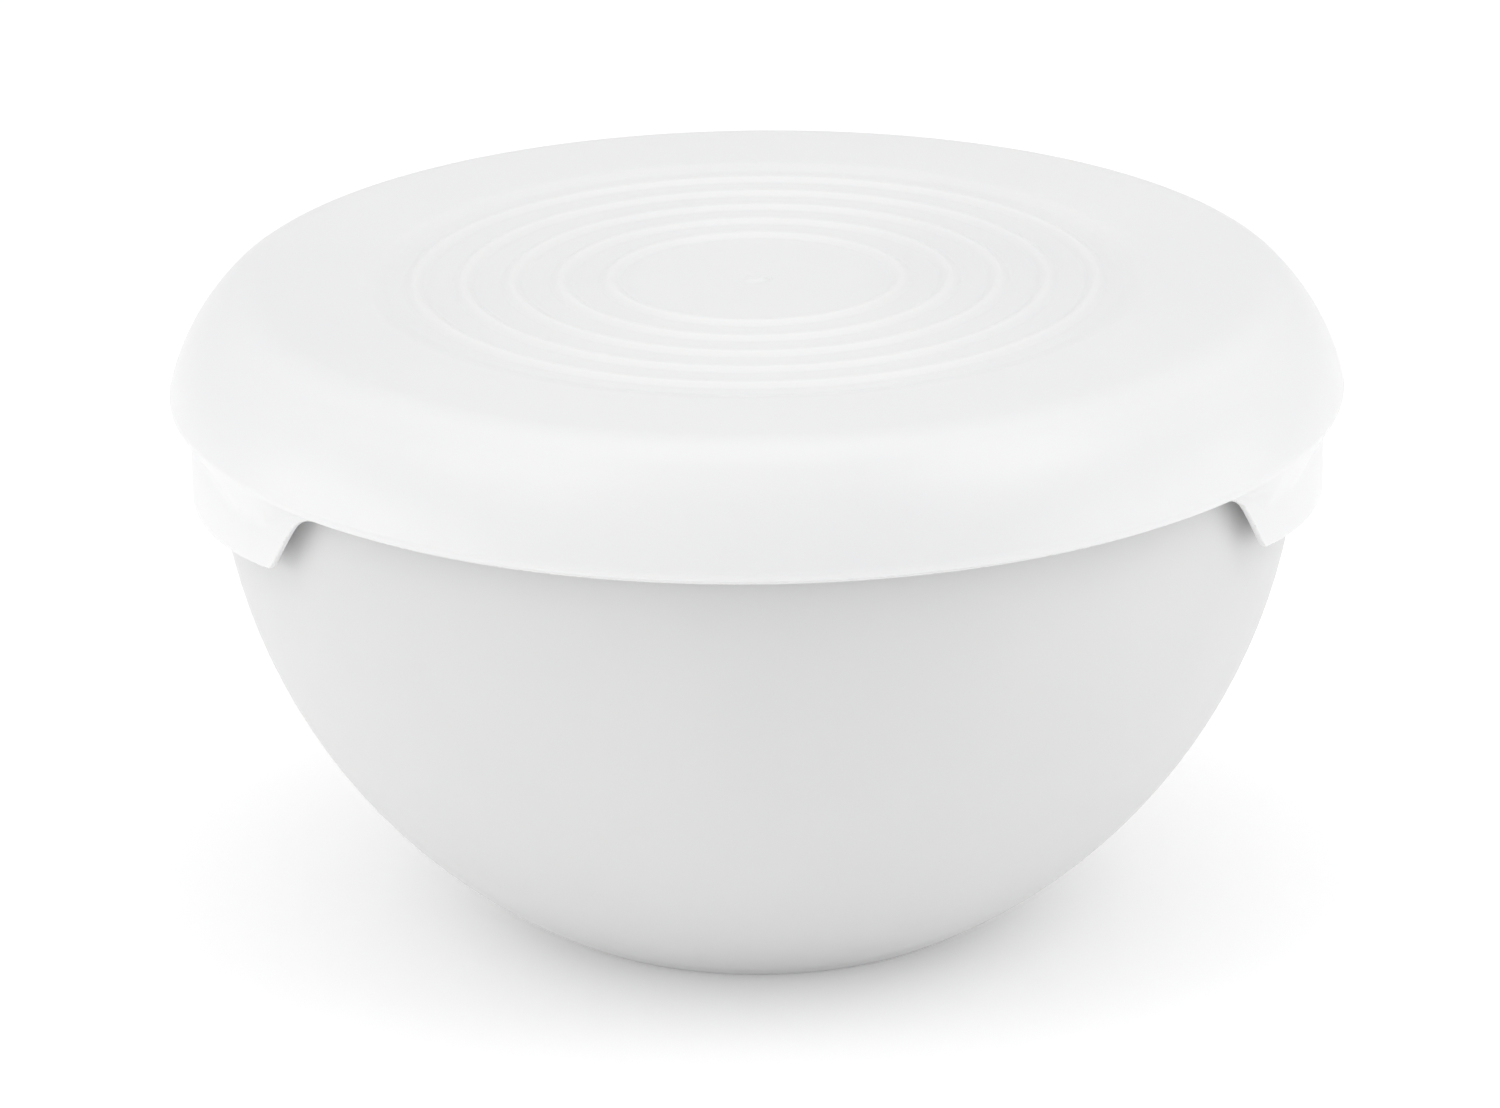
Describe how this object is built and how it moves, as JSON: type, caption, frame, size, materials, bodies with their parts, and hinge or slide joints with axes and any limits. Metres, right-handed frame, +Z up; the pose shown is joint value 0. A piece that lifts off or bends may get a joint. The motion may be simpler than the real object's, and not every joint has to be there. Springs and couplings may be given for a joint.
{
  "type": "lidded bowl",
  "caption": "Round plastic mixing bowl with a flat foot, covered by a low lid with a rounded edge, concentric ribs on top and a grip tab hanging down at each side.",
  "frame": {"origin": "centre of the foot, on the plane that the bowl stands on", "axes": "+Z up along the bowl's axis; X runs through the two grip tabs of the lid; Y runs between them"},
  "size_m": [0.242, 0.242, 0.136],
  "materials": {
    "bowl_plastic": "satin",
    "lid_plastic": "satin"
  },
  "bodies": {
    "bowl": {"bowl": "bowl_plastic"},
    "lid": {"lid": "lid_plastic"}
  },
  "joints": [
    {"name": "lid_lift", "type": "slide", "parent": "bowl", "child": "lid", "axis": [0, 0, 1], "range_m": [0, 0.08]}
  ]
}
